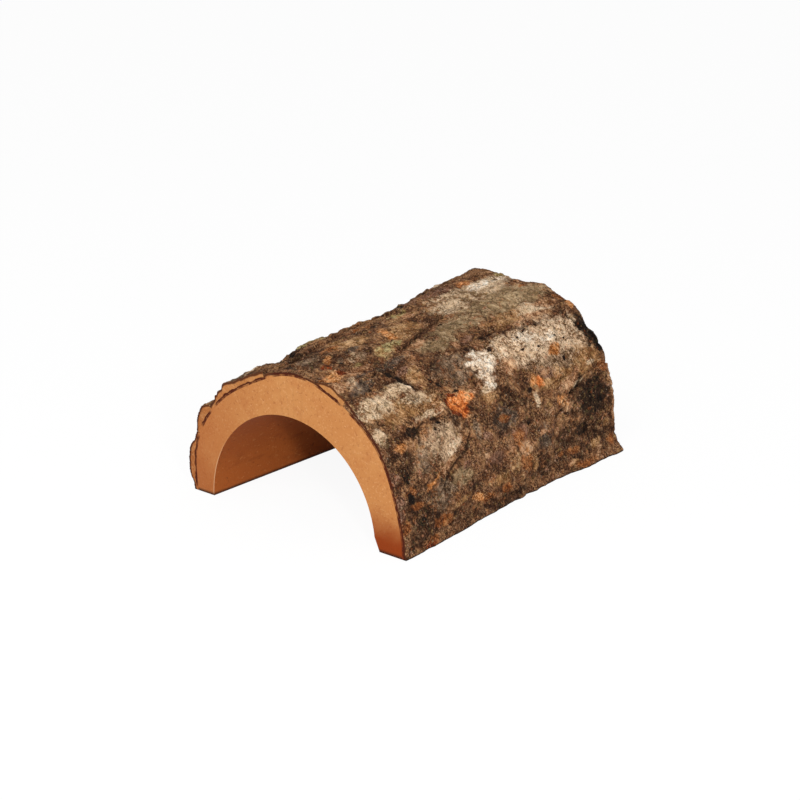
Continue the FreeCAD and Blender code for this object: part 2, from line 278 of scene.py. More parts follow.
def fibrousInnerBark():
    # Bast: a thin fibrous layer, dark where it dried and came away, and elsewhere one with the wood. Its
    # dark is partly painted shade of the gap under the lifted bark
    material, tree = newMaterial("driedBast")
    at = logPlace(tree)
    dark = within(tree, at["degrees"], innerBark["lines"], innerBark["lineFade"])
    worn = put(tree, "TexNoise", {"Vector": at["place"], "Scale": 1 / (innerBark["wornPitch"] * mm),
                                  "Detail": 4, "Roughness": 0.6})
    shown = put(tree, "MapRange", {"Value": worn, **innerBark["wornFade"]})
    dark = put(tree, "Math", {0: dark, 1: shown}, operation="MULTIPLY")
    # painted shade: behind the sawn end it is all dark, as in the gaps it shows through
    behind = put(tree, "MapRange", {"Value": at["back"], **innerBark["behindFade"]})
    dark = put(tree, "Math", {0: dark, 1: behind}, operation="MAXIMUM")
    colour = put(tree, "Mix", {0: dark, 6: sawnFace(tree, at), 7: linear(innerBark["dark"])}, **colourMix)
    colour = flecked(tree, at["place"], colour, innerBark["fibres"])
    fibre = put(tree, "TexNoise", {"Vector": at["place"], "Scale": 1 / (innerBark["fibrePitch"] * mm),
                                   "Detail": 4})
    mattSurface(tree, colour, fibre, innerBark)
    return material


# The outer bark: weathered crust, with patches of what grows on it and of where it is worn

bark = {
    # the mesh
    "voxel": 0.62 * mm, "mergeWithin": 0.01 * mm,
    "overlap": 0.5 * mm,  # each scale grows this much, so that neighbours meet
    "overlapTaken": 0.6,  # the share of it that the outer face gives back
    "mostLost": 0.6,  # the share of its thickness that relief may take from a scale
    "freeFrom": (0.3 * mm, 1.0 * mm),  # height over its seat at which a point starts to move
    "flatWithin": 0.7,  # voxels from a sawn end or the floor in which a point is laid on it
    # noise for lumps, crust and grain: pitch in mm, place in the noise, octaves; then heights in mm
    "noises": [(11.0, 3.1, 3), (3.2, 8.7, 3), (1.5, 1.9, 1)],
    "lumpHeight": 0.8, "crustHeight": 0.4, "grainHeight": 0.15, "meanRise": 0.1,
    "flakePitch": 5.6, "flakeHeight": 0.85, "flakeGap": 0.25, "gapDepth": 0.5,
    "flakeBend": (1.3, 0.55),  # how much finer than a flake, and its share of the pitch
    "flakeSeed": 7.31,
    "pits": (-0.45, 0.6, 1.6),  # noise under which a pit starts, how far under it ends, depth
    # mm from the sawn ends and above the floor over which relief dies away, and what is left of
    # the lumps and of the finer relief at the ends and on the floor
    "calmRim": (0.3, 4.0), "calmFloor": 5.0, "lumpsLeft": (0.5, 0.6), "fineLeft": (0.55, 0.08),
    # the edges of patches and cracks
    "rag": (0.7, 0.5), "patchRaggedness": 0.4, "patchEdge": (0.45, 1.4),
    "warpPitch": 11.0, "patchWarp": 3.0, "warpedLength": 12,
    "crackRaggedness": 1.2, "crackEdge": (0.3, 1.8),
    "underFace": 0.2, "deepInside": 9.0,  # mm that count as on a sawn end, and as far from its rim
    # noise that makes each tone run from dark to pale: pitch in mm, detail, roughness, curl, contrast
    "shadeLevel": 0.475, "darkPlace": 0.2, "palePlace": 0.8,
    "shading": [(0.95, 3, 0.8, 0.2, 2.1), (5.0, 6, 0.73, 0.3, 1.25), (20, 3, 0.5, 0.0, 0.8)],
    # noise finer than this has more contrast in some areas than in others
    "finePitch": 3, "areaPitch": 9,
    "busyFade": {"From Min": 0.4, "From Max": 0.6, "To Min": 0.45, "To Max": 1.6},
    "fibrePitch": 1.3, "fibreStretch": 0.16, "fibreLean": -58, "fibreContrast": 1.15,
    "fibreFade": {"From Min": 0.46, "From Max": 0.58, "To Min": 0.15},
    "flakeContrasts": {"flake": 0.12, "flakeGap": -0.12},
    "crackle": (6.5, 0.07, 6.0),  # pitch in mm, width as a share of it, warp in mm
    "crackleWarpPitch": 3.9, "crackleCore": 0.3, "crackleBreak": 4,
    "crackleFade": {"From Min": 0.5, "From Max": 0.57, "To Max": 0.6},
    # the groove colour darkens cracks, and is also the painted contact shadow along the floor
    "groove": "#140B06", "grooveShare": 0.8,
    "paintedFloorShadowFade": {"From Min": 0.9 * mm, "From Max": 0.36 * mm, "To Max": 0.85},  # height: painted contact shadow along the floor
    # the plain crust: its dark, middle and pale tone, and the shade at which the middle one comes
    "crust": ("#381F12", "#7A5236", "#B6875C", 0.5),
    # each kind: the same four, its relief in mm, and how much of it is strewn about
    "kinds": {
        "umber": ("#221108", "#442A19", "#745036", 0.55, -0.2, 0.45),
        "grey": ("#4C3929", "#826852", "#AE9377", 0.5, 0, 0.35),
        "olive": ("#6C553A", "#A08461", "#CDB18B", 0.5, 0.1, 0),
        # slate: grey bark, and partly painted shade where it stands for folds that lie in shade
        "slate": ("#2C2019", "#574639", "#907A67", 0.5, 0, 0),
        "ochre": ("#6A4424", "#AA7D50", "#DAB082", 0.49, 0.1, 0.25),
        "cream": ("#7A5C3E", "#D0B18D", "#F6DAB8", 0.42, 0.2, 0),
        "ash": ("#583E28", "#A48567", "#E2C09C", 0.46, 0.3, 0),
        "plate": ("#7A583C", "#DFBB95", "#F8DFC0", 0.38, 0.35, 0),
        "green": ("#64502E", "#A8905A", "#D8C690", 0.45, 0.1, 0),
        "mauve": ("#4A2F20", "#845D48", "#B0886F", 0.5, 0, 0.3),
        "rust": ("#4C240E", "#92562C", "#C68856", 0.5, -0.1, 0.45),
        "tan": ("#70462A", "#B88660", "#E6BC92", 0.45, 0, 0),
        "orange": ("#84340E", "#DE7E3C", "#FFC48A", 0.44, -0.4, 0),
        "amber": ("#7A4218", "#CC8448", "#F2BE8A", 0.44, -0.2, 0),
        "ember": ("#2E0E06", "#7C3415", "#B8602E", 0.5, -0.3, 0),
        "white": ("#9C7858", "#FADAB6", "#FFF6E6", 0.32, 0.3, 0),
        "black": ("#0B0604", "#22150D", "#4A3526", 0.5, -0.6, 0),
    },
    "clearKinds": ("black", "ember"),  # their edges are less ragged
    "calmKinds": {"olive": 0.6, "slate": 0.55, "orange": 0.4, "umber": 0.85},  # fine contrast left
    "bareKinds": ("cream", "plate", "white", "olive"),  # nothing strewn covers these
    # how ragged a kind's edge is in its colour, and the fade across it
    "edge": (2.2, {"From Min": 0.12, "From Max": 0.9}),
    "clearEdge": (1.7, {"From Min": 0.2, "From Max": 0.75}),
    "edgePitch": 2.6, "strewnPitch": 6.5, "strewnSeed": 3.7,
    "strewnFade": {"From Min": 0.52, "From Max": 0.62},
    # coloured flecks, small pits and pale crumbs on all of it. Lichen grains are truly some 0.3 mm
    # across: they are drawn at 1.1 to 1.5 mm, the finest that shows
    "specks": [
        (1.1, 3, 1, 0.42, 0.37, 0.65, "#2C190F"),
        (2.6, 5, 1, 0.58, 0.68, 0.5, "#9C5226"),
        (3.7, 5, 1, 0.59, 0.68, 0.4, "#B08A54"),
        (3.1, 5, 1, 0.41, 0.33, 0.45, "#5E5836"),
        (2.1, 5, 1, 0.39, 0.31, 0.7, "#24140C"),
        (1.5, 4, 1, 0.62, 0.72, 0.45, "#E6CCAC"),
    ],
    # where the saw cut it: a dark rim under its face, and painted shade of the gap where it lifts off its
    # seat
    "cutDepth": 0.12, "cutBorder": 0.1,  # mm
    "cutRim": "#4A2213", "cutRimFade": {"From Min": 1.7, "From Max": 1.1, "To Max": 0.92},
    "gapPitch": 5, "gapReach": {"From Min": 0.38, "From Max": 0.68, "To Min": 0.25, "To Max": 1.2},
    "paintedGapShadeFade": {"From Min": -0.2, "From Max": 0.2}, "gapBorder": 2,
    "cutStretches": [(64, 82), (101.5, 182)],  # degrees where the sawn bark is tan like the wood
    "cutStretchFade": 1,
    "cutLayers": [
        (3.0, 4, 1, 0.45, 0.65, 0.5, "#CE9560"),
        (1.6, 4, 1, 0.56, 0.68, 0.45, "#8A4A24"),
    ],
    "grainPitch": 1.1, "reliefStrength": 0.75, "reliefHeight": 0.4, "roughness": 0.92, "specular": 0.12,
    # listed patches: mm back, degrees round, half length and half width in mm, and for some
    # a lean in degrees
    "patches": {
        # dark bark, most of all on the rear flank and low down
        "umber": [
            (187, 27, 29, 23), (193, 34, 13, 11), (158, 17, 14, 11), (24, 8, 16, 8), (10, 6, 9, 7),
            (30, 13, 10, 6), (188, 11, 18, 8), (168, 9, 14, 6), (28, 96, 16, 8, 30), (60, 73, 12, 3, 5),
            (40, 105, 10, 5, 30), (66, 95, 9, 4, 30), (90, 56.5, 5, 3), (14, 15, 10, 15), (14, 33, 7, 8),
            (92, 3, 28, 5), (132, 9, 10, 8), (46, 7, 10, 5), (113, 43, 9, 8), (103, 32, 6, 4),
            (110, 28, 2.4, 6), (122, 31.5, 7, 2), (43, 91, 4, 6, 45), (16, 89, 6, 5, 45), (8, 96, 9, 3, 55),
            (53, 86, 6, 4, 30), (64, 43.5, 4, 4.5), (200, 45, 5, 3), (6, 38.5, 6, 3), (104, 67.5, 8, 2),
            (123, 68.5, 4.5, 2.4), (65, 16.5, 6, 4), (76, 104, 4, 3), (103, 93, 4, 3, 20), (92, 105, 6, 3),
            (156, 51, 6, 2), (44, 53.3, 4, 1.8), (6, 52, 4, 3), (194, 67, 3, 2), (30, 108, 10, 6, 30),
            (126, 40, 6, 3), (74, 66, 8, 4), (16.6, 35.5, 7, 7), (16, 22, 6, 7), (150, 12, 12, 10),
            (31, 8, 10, 5), (60, 121.5, 18, 5), (30, 117, 8, 4), (150, 115, 16, 4)],
        # greyer bark
        "grey": [
            (86, 62, 17, 10), (28, 33, 7, 6), (38, 19, 14, 8, 10), (24, 98, 9, 7, 30), (78.5, 36.8, 3, 6),
            (31, 86, 5, 2, 35)],
        # smooth bark, most of it on the crown
        "olive": [
            (168, 84, 46, 12.5), (118, 80, 26, 7), (92, 75, 16, 5), (190, 80, 16, 6), (57, 22.6, 10, 5)],
        # grey bark, partly its own grey and partly painted shade of folds on the crown
        "slate": [
            (48, 90, 9, 3, 30), (53, 75.3, 17, 4, 5), (18, 68, 14, 4, 14), (30, 73.5, 10, 1.8, 6),
            (106, 37, 13, 7.5), (136, 22, 8, 9)],
        # brown bark
        "ochre": [
            (33, 54, 34, 6.5), (190, 48, 16, 10), (165, 47, 14, 5), (98, 47, 9, 5), (62, 82.5, 10, 4.5, 18),
            (60, 98, 14, 8), (88, 90, 14, 8, 20), (160, 73, 24, 5), (199, 16.5, 4.5, 3.5), (58, 65, 6, 6),
            (53, 12, 10, 2, 12), (90, 13, 8, 3), (104, 99, 12, 4, 10), (60, 106, 10, 4), (187, 45, 9, 5),
            (107, 17.4, 5, 7), (96, 12, 4, 4.5), (123.4, 13, 4, 6), (184, 8.8, 6, 4), (162, 4.2, 6, 2.6),
            (158, 44, 26, 6)],
        # lichen and paler plates
        "cream": [
            (44, 56, 12, 4.4), (150, 95, 24, 6.5), (178, 94.5, 18, 6), (132, 92.5, 10, 5),
            (178, 75.5, 10, 2.4), (4, 46.5, 5, 5.5), (132, 63, 10, 6), (13, 58, 13, 7), (38, 62, 12, 5.5),
            (48, 49.6, 18, 1.9, 2), (166, 99, 30, 7), (190, 99.6, 20, 6.6, 2), (138, 93, 12, 5, 15),
            (178, 92, 5, 2.4, 15), (147, 89.5, 4, 2, 20), (182, 72.5, 14, 5), (136.5, 38.8, 3, 4.6),
            (97.5, 49.5, 4, 2.2), (194, 44.5, 5, 2), (176, 38.5, 6, 1.2, 20), (39, 64, 7, 2.6, -10)],
        "ash": [
            (47, 38, 17, 11, 4), (42, 85, 9, 4.5, 30), (166, 50.5, 22, 6), (15, 71.5, 6, 2.6, 30)],
        "plate": [
            (147, 60, 33, 12), (184, 59, 23, 12, -6), (55, 34, 8, 3.4, 12)],
        "green": [
            (63, 83, 9, 3.6, 22), (74, 84, 6, 2.4, 10), (112, 104.5, 9, 4, 10), (34, 79, 4, 2.4, 30),
            (205, 102, 4, 4)],
        # redder bark
        "mauve": [
            (116, 27.5, 8, 5), (3, 32, 4, 5), (3, 22, 4, 5), (63, 25.5, 4, 2, 20), (86, 33, 4, 3),
            (130, 107, 14, 4), (154, 107, 14, 5), (88, 22, 9, 5), (53, 69, 5, 2.5), (114, 71.5, 7, 2),
            (188, 23, 4, 2, 30), (175, 31, 3, 2), (152, 47, 9, 3.4), (0, 15.7, 4, 8)],
        "rust": [
            (117, 15, 6.5, 8), (95, 8, 5, 4), (76, 8, 7, 3), (24, 2.2, 8, 3), (172, 2.6, 12, 3.5),
            (163, 10, 6, 2.5), (150, 11, 3, 2), (13, 24, 5, 3), (14, 18.5, 6, 2), (3, 12, 4, 4),
            (104, 37, 5, 3), (204, 41, 5, 4), (198, 88, 4, 2, 20), (4, 77, 4, 4), (175, 105, 7, 3.4, 10),
            (202, 7, 4, 4), (44, 100, 9, 4, 20), (116, 57.5, 2.4, 1.2), (36, 8, 8, 4), (104, 55.5, 4, 2),
            (84, 108, 9, 3), (205.5, 74, 4, 4), (25, 2, 6, 2.4), (113, 25, 5, 8)],
        "tan": [
            (172, 41, 12, 3.4, 22), (124, 55, 8, 3.6), (31, 76.8, 12, 4), (205, 68.5, 6, 2.4),
            (187, 5, 3.5, 3.5), (159, 4.5, 3, 1.8), (90, 51.5, 6.5, 2, 12), (152, 47.5, 5, 2.2),
            (147, 32, 3.5, 3), (163, 31, 5, 2.6, 12), (117.5, 21, 6.5, 4.4), (134, 24.5, 4.5, 2.2),
            (81, 25.3, 3.5, 2), (103.5, 24.5, 3, 4), (43, 28, 9, 2.2, 21), (102, 71.3, 3.6, 2.6),
            (106, 84.5, 7, 2.2, 35), (113, 99.5, 7, 3.6, 12), (85, 79.5, 5, 3), (103, 57.5, 2.4, 2.2),
            (207.5, 27, 1.8, 18), (168, 71, 6, 2), (58, 50, 6, 1.8, 10), (175, 69.8, 16, 2.6),
            (159, 69.5, 8, 2), (189, 73.5, 12, 3, -10), (170, 40, 9, 3, 20), (117.7, 22, 5, 5),
            (5, 71.5, 7, 4, 30)],
        # worn places, with darker rims
        "orange": [
            (70.5, 49.6, 6.4, 5), (79, 49.8, 6.4, 4.6), (75, 46.4, 5, 5), (84.5, 49.4, 4, 2, 12),
            (143, 45, 4.6, 3.4, -20), (176, 105, 4, 1.8, 10)],
        "amber": [
            (205, 68.6, 4, 3), (69, 10.1, 3.4, 2.6), (167, 54, 5, 3.4, 5), (171, 55, 3, 2.2, 30),
            (138, 46.5, 4.4, 3, 20), (156.5, 34.6, 3.4, 2.4, 30), (160, 32.5, 2.4, 2),
            (29, 23.8, 5, 1.8, 21), (36, 26, 4, 1.4, 21), (66.5, 10.8, 3, 2.2), (70, 9.6, 2.4, 1.6),
            (15.5, 41.3, 4.6, 2.8), (13, 78.5, 8, 4, 20), (27.5, 90.7, 8, 2.4, 42), (80, 92, 9, 3.2, 60),
            (117, 20.5, 3, 2)],
        "ember": [
            (64.6, 50.4, 1.8, 3.6), (70.5, 53, 5, 1, -8), (69, 45.6, 5, 1.3, -38), (20, 79, 3, 3.4, 20),
            (17.5, 84.5, 4, 3, 30), (22, 1.5, 5, 1.6)],
        # the palest lichen
        "white": [
            (180, 99.5, 15, 3.4), (148, 63, 12, 3), (110, 62, 10, 5, -8), (99, 60.4, 5, 1.6, -8),
            (108, 57, 6.5, 6), (103.5, 52, 4.6, 4.2, 30), (114, 60.5, 4, 2.4), (99, 54.5, 3.4, 1.6, -30),
            (107, 58, 9, 7), (46.8, 61.8, 2.2, 4.2, 20), (170, 60, 8, 3), (200, 99.5, 6, 3)],
        # hollows and pits
        "black": [
            (190, 31, 16, 8), (184, 27, 10, 9), (12, 22, 3, 4), (18, 12, 4, 2.6), (46, 120, 10, 3.2, 20),
            (76.5, 53.6, 3, 1.1), (132.8, 43.3, 3.2, 2.3), (28, 45.2, 5, 2.9), (204, 57.5, 6, 10.5),
            (207, 50, 3, 6), (28.5, 84, 2.2, 1.4), (115, 85.7, 1.4, 1.1), (44, 70.5, 1.8, 2.2),
            (46.5, 66.5, 1.8, 2.4), (49, 62.6, 1.6, 2.2), (121, 108, 3.6, 2.4), (64, 61, 2, 1.6),
            (67, 58, 2.4, 2), (145, 63.6, 1.116, 0.84), (143, 58.6, 1.24, 0.9), (157, 66.3, 1.24, 0.84),
            (167, 66.3, 2.108, 0.78), (157, 57.8, 1.054, 0.72), (176, 59.6, 1.24, 0.72),
            (182, 57.4, 1.178, 0.72), (190, 62, 0.992, 0.72), (118.5, 63, 2.2, 1.6), (173, 50, 1.8, 1.6),
            (125, 31, 2, 1), (190, 37, 9, 3), (172, 18, 8, 4), (43, 42.5, 1.8, 1.3), (50, 45, 2, 1.2),
            (12, 30, 3, 3), (196, 100, 2, 0.8)],
    },
    # the side that the photograph doesn't show: patches of the same kinds, strewn with a seed
    "unseen": {"seed": 12, "count": 110, "degrees": (119, 180), "halfLength": (3, 17),
               "halfWidth": (1.5, 6), "lean": (-25, 25),
               "smallKinds": ("black", "orange", "white"), "smallSize": 0.35,
               "kinds": ("umber", "grey", "ochre", "rust", "mauve", "ash", "plate", "cream", "slate", "tan",
                         "umber", "ochre", "green", "orange", "black", "white", "umber", "amber")},
    # swells and dents: mm back, degrees round, half length, half width and height in mm
    "swells": [
        (32, 118, 9, 9, -1.8), (53, 124, 9, 9, 1.0), (78, 120, 7, 8, -1.9), (116, 116, 10, 9, -1.6),
        (159, 126, 9, 8, -1.0), (0, 131.5, 14, 4, -2.0), (0, 142, 10, 8, 1.0), (0, 123, 6, 4, -0.8),
        (208, 112, 8, 7, 0.9), (208, 94, 10, 6, -1.4), (204, 71, 9, 6, 1.6), (208, 49, 9, 11, 1.8),
        (110, 0, 130, 4, 1.1), (204, 0, 8, 5, 1.0), (0, 179, 9, 5, -1.6), (190, 20, 12, 12, 0.6),
        (0, 72.5, 7, 8, 1.4),
    ],
    # cracks: half width and depth in mm, then points as (mm back, degrees round)
    "cracks": {
        "diagonal": (0.7, 1.4, [(33, 18), (41, 22), (48, 26), (55, 29), (66, 31.2), (73, 38)]),
        "lowCrack": (0.4, 0.8, [(20, 16.3), (30, 17), (38, 14.5), (50, 17)]),
        "crownSeam": (0.5, 1.2, [(64, 78), (72.8, 79.8), (83, 82.3), (91.6, 83.6), (98, 85.5)]),
        "crownFold": (0.8, 0.3, [(33, 72.2), (46, 75), (58, 77.3), (64, 78)]),
        "crownStep": (0.7, 0.35, [(98, 85.5), (110, 87.5), (124, 90), (140, 93), (160, 94.6), (190, 96),
                                  (208, 97.2)]),
        "plateEdge": (0.5, 0.9, [(118, 69), (130, 70.5), (150, 68), (163, 67), (173, 66.6)]),
        "plateEnd": (0.7, 1.2, [(195, 67), (200, 60.5), (205, 56), (207.5, 50)]),
        "rearCurl": (0.7, 1.5, [(150, 28.5), (158, 31), (166, 35.8), (174, 37.4), (183, 41.3)]),
        "lowArc": (0.45, 0.9, [(121, 5), (122.5, 11), (126, 14.6), (131, 15.6)]),
        "shoulderNick": (2.2, 2.2, [(42, 72.5), (44.5, 70), (47, 66), (50, 61.4)]),
        "ovalTop": (0.55, 1.0, [(31, 41), (33, 45.6), (40, 47.2), (50, 47.2), (58, 45.6), (61, 41)]),
        "ovalLow": (0.35, 0.6, [(31, 41), (33, 37.6), (39, 35)]),
        "crownNick": (0.6, 1.0, [(30, 70.4), (34, 72), (37.5, 73)]),
        "plateTear": (0.4, 0.8, [(108, 65.5), (111, 62), (115, 60)]),
    },
}


def logCoordinates(points):
    # millimetres back, degrees round, and radius in metres of each point
    across = points[:, 0] - centreX
    back = (points[:, 1] - frontY) / mm
    degrees = np.degrees(np.arctan2(np.maximum(points[:, 2], 0), across))
    return back, degrees, np.hypot(across, points[:, 2])


def noiseAt(points, pitch, offset, octaves):
    # noise from about -1 to 1, with lumps about pitch millimetres across
    scale = 1 / (pitch * mm)
    shift = Vector((offset, offset * 0.7, -offset))
    values = [noise.fractal(Vector(point) * scale + shift, 0.7, 2.1, octaves) for point in points]
    return np.array(values)


def warpAt(points, pitch):
    # two noises at once, to bend the outlines of patches
    scale = 1 / (pitch * mm)
    values = [noise.noise_vector(Vector(point) * scale)[:2] for point in points]
    return np.array(values)


def smoothStep(values, low, high):
    share = np.clip((values - low) / (high - low), 0, 1)
    return share * share * (3 - 2 * share)


def atLeast(least, share):
    # a share from 0 to 1, squeezed into what lies between least and 1
    return least + (1 - least) * share


def unseenPatches():
    # for the side that the photograph doesn't show, each with its kind and its place
    unseen = bark["unseen"]
    chance = random.Random(unseen["seed"])
    patches = []
    for index in range(unseen["count"]):
        kind = unseen["kinds"][index % len(unseen["kinds"])]
        size = unseen["smallSize"] if kind in unseen["smallKinds"] else 1
        midBack = chance.uniform(0, logLength)
        midDegrees = chance.uniform(*unseen["degrees"])
        halfLength = size * chance.uniform(*unseen["halfLength"])
        halfWidth = size * chance.uniform(*unseen["halfWidth"])
        lean = chance.uniform(*unseen["lean"])
        patches.append((kind, (midBack, midDegrees, halfLength, halfWidth, lean)))
    return patches


def allPatches():
    placed = [(kind, place) for kind, places in bark["patches"].items() for place in places]
    return placed + unseenPatches()


def patchStrength(back, degrees, rag, midBack, midDegrees, halfLength, halfWidth, lean=0):
    along = back - midBack
    across = (degrees - midDegrees) * perDegree
    turn = math.radians(lean)
    u = along * math.cos(turn) + across * math.sin(turn)
    v = across * math.cos(turn) - along * math.sin(turn)
    distance = np.sqrt((u / halfLength) ** 2 + (v / halfWidth) ** 2) + rag * bark["patchRaggedness"]
    return 1 - smoothStep(distance, *bark["patchEdge"])


def crackStrength(halfWidth, course, back, degrees, rag):
    nearest = np.full(len(back), np.inf)
    across = degrees * perDegree
    course = np.array(course) * (1, perDegree)
    for start, end in zip(course, course[1:]):
        run = end - start
        share = ((back - start[0]) * run[0] + (across - start[1]) * run[1]) / run.dot(run)
        share = np.clip(share, 0, 1)
        gap = np.hypot(back - start[0] - share * run[0], across - start[1] - share * run[1])
        nearest = np.minimum(nearest, gap)
    inner, outer = bark["crackEdge"]
    return 1 - smoothStep(nearest + rag * bark["crackRaggedness"], halfWidth * inner, halfWidth * outer)


def copyOf(node, name):
    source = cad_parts[node]
    piece = source.copy()
    piece.data = source.data.copy()
    piece.parent = None
    piece.name = name
    piece.data.name = name
    bpy.context.scene.collection.objects.link(piece)
    return piece


def only(piece):
    bpy.ops.object.select_all(action="DESELECT")
    piece.hide_set(False)
    piece.select_set(True)
    bpy.context.view_layer.objects.active = piece


def mergedAndRemeshed(piece, voxel):
    only(piece)
    bpy.ops.object.mode_set(mode="EDIT")
    bpy.ops.mesh.select_all(action="SELECT")
    bpy.ops.mesh.remove_doubles(threshold=bark["mergeWithin"])
    bpy.ops.mesh.normals_make_consistent(inside=False)
    bpy.ops.object.mode_set(mode="OBJECT")
    grow = piece.modifiers.new("sidewaysGrowth", "DISPLACE")
    grow.strength = bark["overlap"]
    grow.mid_level = 0
    bpy.ops.object.modifier_apply(modifier=grow.name)
    remesh = piece.modifiers.new("evenSurface", "REMESH")
    remesh.mode = "VOXEL"
    remesh.voxel_size = voxel
    bpy.ops.object.modifier_apply(modifier=remesh.name)


def seatTree():
    # the inner bark's surface, to measure how far out of its seat a point of the bark is
    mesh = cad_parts["inner_bark"].data
    points = [vertex.co.copy() for vertex in mesh.vertices]
    return BVHTree.FromPolygons(points, [tuple(face.vertices) for face in mesh.polygons])


def seatRadii(tree, points):
    # cast inwards from outside, so that the first hit is the seat. Rays keep just off the seat's
    # ends and the floor, which they could miss
    margin = 0.2 * mm
    lowest = 0.3 * mm
    radii = np.zeros(len(points))
    for index, point in enumerate(points):
        axis = Vector((centreX, point[1], 0))
        out = (Vector((point[0], point[1], max(point[2], lowest))) - axis).normalized()
        start = axis + out * log["outside"]
        start.y = min(max(point[1], frontY + margin), backY - margin)
        hit = tree.ray_cast(start, -out)[0]
        radii[index] = 0 if hit is None else math.hypot(hit.x - centreX, hit.z)
    return radii


def flakesAt(points):
    # flat flakes of bark: how high each stands, and how close a point is to the gap between two
    heights = np.zeros(len(points))
    gaps = np.zeros(len(points))
    scale = 1 / (bark["flakePitch"] * mm)
    finer, bend = bark["flakeBend"]
    for index, point in enumerate(points):
        place = Vector(point) * scale
        place += noise.noise_vector(place * finer) * bend
        distances, centres = noise.voronoi(place)
        heights[index] = noise.noise(centres[0] * bark["flakeSeed"])
        gaps[index] = distances[1] - distances[0]
    return heights, 1 - smoothStep(gaps, 0.0, bark["flakeGap"])


def skinDepth(fromEnd, degrees, radius):
    # how far under the weathered face each point of a sawn end lies, in mm
    onEnd = fromEnd < bark["underFace"]
    if not onEnd.any():
        return np.full(len(fromEnd), bark["deepInside"])
    outermost = np.zeros(181)  # one for each degree round the log
    np.maximum.at(outermost, np.round(degrees[onEnd]).astype(int), radius[onEnd])
    known = np.nonzero(outermost)[0]
    face = np.interp(degrees, known, outermost[known])
    return np.where(onEnd, (face - radius) / mm, bark["deepInside"])


def crustRelief(points, back):
    # the rise of lumps, flakes, crust and pits in mm, the raggedness of edges, and the flakes
    lumps, crust, grain = [noiseAt(points, *layer) for layer in bark["noises"]]
    flake, flakeGap = flakesAt(points)
    offEnd = smoothStep(np.minimum(back, logLength - back), *bark["calmRim"])
    offFloor = smoothStep(points[:, 2], 0, bark["calmFloor"] * mm)
    endLeft, floorLeft = bark["lumpsLeft"]
    rise = bark["lumpHeight"] * lumps * atLeast(endLeft, offEnd) * atLeast(floorLeft, offFloor)
    pitStart, pitSpan, pitDepth = bark["pits"]
    fine = bark["flakeHeight"] * (flake - bark["gapDepth"] * flakeGap) + bark["grainHeight"] * grain
    fine += bark["crustHeight"] * crust - pitDepth * np.clip(pitStart - crust, 0, pitSpan)
    endLeft, floorLeft = bark["fineLeft"]
    rise += bark["meanRise"] + fine * atLeast(endLeft, offEnd) * atLeast(floorLeft, offFloor)
    crustShare, lumpShare = bark["rag"]
    return rise, crust * crustShare + lumps * lumpShare, flake, flakeGap


def patchStrengths(points, back, degrees, rag):
    # how strong each kind is at each point, from 0 to 1
    warp = warpAt(points, bark["warpPitch"]) * bark["patchWarp"]
    turnWarp = warp[:, 1] / perDegree
    strengths = {kind: np.zeros(len(points)) for kind in bark["kinds"]}
    for kind, place in allPatches():
        bend = min(1, place[2] / bark["warpedLength"])  # the small ones stay where they are
        strength = patchStrength(back + bend * warp[:, 0], degrees + bend * turnWarp, rag, *place)
        strengths[kind] = np.maximum(strengths[kind], strength)
    return strengths


def swellsAndCracks(back, degrees, rag):
    # how far they raise each point, in mm, and how strong the cracks are there
    rise = np.zeros(len(back))
    groove = np.zeros(len(back))
    for *place, height in bark["swells"]:
        rise += patchStrength(back, degrees, 0, *place) * height
    for halfWidth, depth, course in bark["cracks"].values():
        strength = crackStrength(halfWidth, course, back, degrees, rag)
        groove = np.maximum(groove, strength * min(1, depth))
        rise -= strength * depth
    return rise, groove


def raised(points, radius, seat, rise):
    # moves points outwards, but not off their seat, and lays the sawn ends and the feet flat
    out = points.copy()
    out[:, 0] -= centreX
    out[:, 1] = 0
    out /= np.maximum(np.linalg.norm(out, axis=1), 1e-6)[:, None]
    thickness = np.maximum(radius - seat, 0)
    move = np.maximum(rise * mm - bark["overlap"] * bark["overlapTaken"], -bark["mostLost"] * thickness)
    move *= smoothStep(radius - seat, *bark["freeFrom"])
    inside = np.clip(seat - radius, 0, None)  # what grew into the seat goes back to it
    points = points + out * (move + inside)[:, None]
    edge = bark["voxel"] * bark["flatWithin"]
    points[points[:, 1] < frontY + edge, 1] = frontY
    points[points[:, 1] > backY - edge, 1] = backY
    points[points[:, 2] < edge, 2] = 0
    return points


def weather(piece, tree):
    mesh = piece.data
    flat = np.zeros(len(mesh.vertices) * 3)
    mesh.vertices.foreach_get("co", flat)
    points = flat.reshape(-1, 3)
    back, degrees, radius = logCoordinates(points)
    seat = seatRadii(tree, points)
    rise, rag, flake, flakeGap = crustRelief(points, back)
    strengths = patchStrengths(points, back, degrees, rag)
    for kind, (dark, middle, pale, middlePlace, relief, share) in bark["kinds"].items():
        rise += strengths[kind] * relief
    swell, groove = swellsAndCracks(back, degrees, rag)
    points = raised(points, radius, seat, rise + swell)
    mesh.vertices.foreach_set("co", points.ravel())
    back, degrees, radius = logCoordinates(points)
    skin = np.minimum(skinDepth(back, degrees, radius), skinDepth(logLength - back, degrees, radius))
    attributes = dict(strengths, groove=groove, flake=flake, flakeGap=flakeGap, skinDepth=skin,
                      overSeat=(radius - seat) / mm)
    for name, values in attributes.items():
        attribute = mesh.attributes.new(name, "FLOAT", "POINT")
        attribute.data.foreach_set("value", values.astype(np.float32))
    mesh.update()


def busyness(tree, at, area):
    # how much of the fine contrast shows: some areas and kinds are smoother than others
    green = put(tree, "SeparateColor", {0: area}, out="Green")
    busy = put(tree, "MapRange", {"Value": green, **bark["busyFade"]})
    for kind, calmed in bark["calmKinds"].items():
        left = put(tree, "MapRange", {"Value": at[kind], "To Min": 1, "To Max": calmed})
        busy = put(tree, "Math", {0: busy, 1: left}, operation="MULTIPLY")
    return busy


